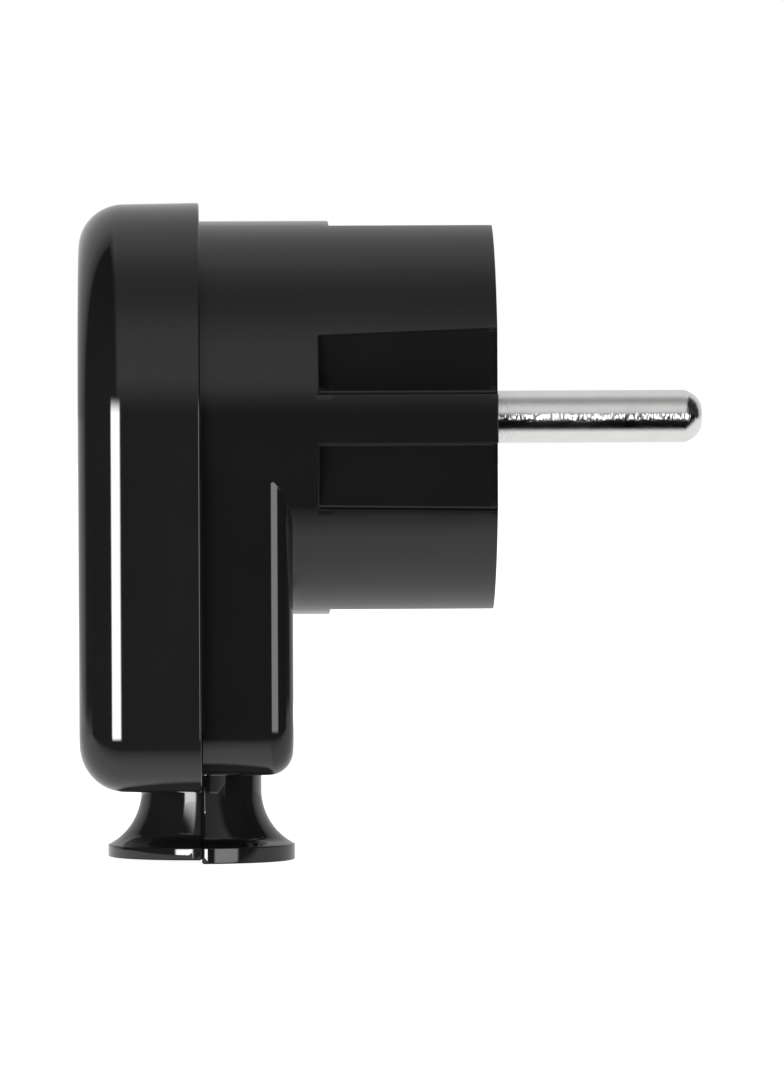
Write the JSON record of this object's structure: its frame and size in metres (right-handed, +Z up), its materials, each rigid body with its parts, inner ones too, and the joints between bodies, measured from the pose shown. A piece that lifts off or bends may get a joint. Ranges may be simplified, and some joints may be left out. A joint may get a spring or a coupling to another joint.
{
  "type": "mains_plug",
  "caption": "Right-angle rewirable earthed mains plug with two round pins, earth grooves and a flared cable outlet, for fitting to an appliance cord.",
  "frame": {"origin": "centre of the flat engagement face, on the plug's axis, midway between the two pins", "axes": "+X out of the engagement face along the pins (mating direction); +Z up, away from the cable outlet; +Y across the pins"},
  "size_m": [0.0574, 0.04, 0.061],
  "materials": {
    "shell": "high-gloss black thermoplastic",
    "carrier": "moulded thermoset, matt",
    "clamp": "dark grey polyamide, matt",
    "pin": "brass, satin nickel plate",
    "terminal": "bare brass, satin",
    "fastener": "zinc-plated steel"
  },
  "bodies": {
    "plug_body": {"front_body": "shell", "contact_carrier": "carrier", "power_pin_a": "pin", "power_pin_b": "pin", "terminal_plate_a": "terminal", "terminal_plate_b": "terminal", "earth_strap": "terminal", "earth_pin_socket": "terminal"},
    "cover": {"rear_cover": "shell", "housing_nut_face": "fastener", "housing_nut_leg_a": "fastener", "housing_nut_leg_b": "fastener"},
    "housing_washer_face_body": {"housing_washer_face": "fastener"},
    "housing_screw_face_body": {"housing_screw_face": "fastener"},
    "housing_washer_leg_a_body": {"housing_washer_leg_a": "fastener"},
    "housing_screw_leg_a_body": {"housing_screw_leg_a": "fastener"},
    "housing_washer_leg_b_body": {"housing_washer_leg_b": "fastener"},
    "housing_screw_leg_b_body": {"housing_screw_leg_b": "fastener"},
    "clamp_washer_a_body": {"clamp_washer_a": "fastener"},
    "terminal_screw_a_body": {"terminal_screw_a": "fastener"},
    "clamp_washer_b_body": {"clamp_washer_b": "fastener"},
    "terminal_screw_b_body": {"terminal_screw_b": "fastener"},
    "earth_clamp_washer_body": {"earth_clamp_washer": "fastener"},
    "earth_terminal_screw_body": {"earth_terminal_screw": "fastener"},
    "cord_clamp_bar_body": {"cord_clamp_bar": "clamp"},
    "cord_clamp_screw_a_body": {"cord_clamp_screw_a": "fastener"},
    "cord_clamp_screw_b_body": {"cord_clamp_screw_b": "fastener"}
  },
  "joints": [
    {"name": "cover_lift_off", "type": "slide", "parent": "plug_body", "child": "cover", "axis": [-1, 0, 0], "range_m": [0, 0.03]},
    {"name": "housing_face_withdraw", "type": "slide", "parent": "plug_body", "child": "housing_washer_face_body", "axis": [1, 0, 0], "range_m": [0, 0.006]},
    {"name": "housing_face_turn", "type": "hinge", "parent": "housing_washer_face_body", "child": "housing_screw_face_body", "pos_m": [-0.004, 0, -0.0085], "axis": [1, 0, 0], "range_deg": [0, 4321]},
    {"name": "housing_leg_a_withdraw", "type": "slide", "parent": "plug_body", "child": "housing_washer_leg_a_body", "axis": [1, 0, 0], "range_m": [0, 0.006]},
    {"name": "housing_leg_a_turn", "type": "hinge", "parent": "housing_washer_leg_a_body", "child": "housing_screw_leg_a_body", "pos_m": [-0.0218, -0.0122, -0.027], "axis": [1, 0, 0], "range_deg": [0, 4321]},
    {"name": "housing_leg_b_withdraw", "type": "slide", "parent": "plug_body", "child": "housing_washer_leg_b_body", "axis": [1, 0, 0], "range_m": [0, 0.006]},
    {"name": "housing_leg_b_turn", "type": "hinge", "parent": "housing_washer_leg_b_body", "child": "housing_screw_leg_b_body", "pos_m": [-0.0218, 0.0122, -0.027], "axis": [1, 0, 0], "range_deg": [0, 4321]},
    {"name": "terminal_a_open", "type": "slide", "parent": "plug_body", "child": "clamp_washer_a_body", "axis": [-1, 0, 0], "range_m": [0, 0.0015]},
    {"name": "terminal_a_turn", "type": "hinge", "parent": "clamp_washer_a_body", "child": "terminal_screw_a_body", "pos_m": [-0.0226, -0.0095, 0], "axis": [-1, 0, 0], "range_deg": [0, 1081]},
    {"name": "terminal_b_open", "type": "slide", "parent": "plug_body", "child": "clamp_washer_b_body", "axis": [-1, 0, 0], "range_m": [0, 0.0015]},
    {"name": "terminal_b_turn", "type": "hinge", "parent": "clamp_washer_b_body", "child": "terminal_screw_b_body", "pos_m": [-0.0226, 0.0095, 0], "axis": [-1, 0, 0], "range_deg": [0, 1081]},
    {"name": "terminal_earth_open", "type": "slide", "parent": "plug_body", "child": "earth_clamp_washer_body", "axis": [-1, 0, 0], "range_m": [0, 0.0015]},
    {"name": "terminal_earth_turn", "type": "hinge", "parent": "earth_clamp_washer_body", "child": "earth_terminal_screw_body", "pos_m": [-0.0225, 0, -0.001], "axis": [-1, 0, 0], "range_deg": [0, 1081]},
    {"name": "cord_clamp_close", "type": "slide", "parent": "plug_body", "child": "cord_clamp_bar_body", "axis": [1, 0, 0], "range_m": [0, 0.003]},
    {"name": "cord_clamp_a_turn", "type": "hinge", "parent": "cord_clamp_bar_body", "child": "cord_clamp_screw_a_body", "pos_m": [-0.03365, -0.0086, -0.0192], "axis": [1, 0, 0], "range_deg": [0, 807]},
    {"name": "cord_clamp_b_turn", "type": "hinge", "parent": "cord_clamp_bar_body", "child": "cord_clamp_screw_b_body", "pos_m": [-0.03365, 0.0086, -0.0192], "axis": [1, 0, 0], "range_deg": [0, 807]}
  ],
  "couplings": [
    {"joint": "housing_face_turn", "follows": "housing_face_withdraw", "rad_per_m": 12566},
    {"joint": "housing_leg_a_turn", "follows": "housing_leg_a_withdraw", "rad_per_m": 12566},
    {"joint": "housing_leg_b_turn", "follows": "housing_leg_b_withdraw", "rad_per_m": 12566},
    {"joint": "terminal_a_turn", "follows": "terminal_a_open", "rad_per_m": 12566},
    {"joint": "terminal_b_turn", "follows": "terminal_b_open", "rad_per_m": 12566},
    {"joint": "terminal_earth_turn", "follows": "terminal_earth_open", "rad_per_m": 12566},
    {"joint": "cord_clamp_a_turn", "follows": "cord_clamp_close", "rad_per_m": 4688.9},
    {"joint": "cord_clamp_b_turn", "follows": "cord_clamp_close", "rad_per_m": 4688.9}
  ]
}
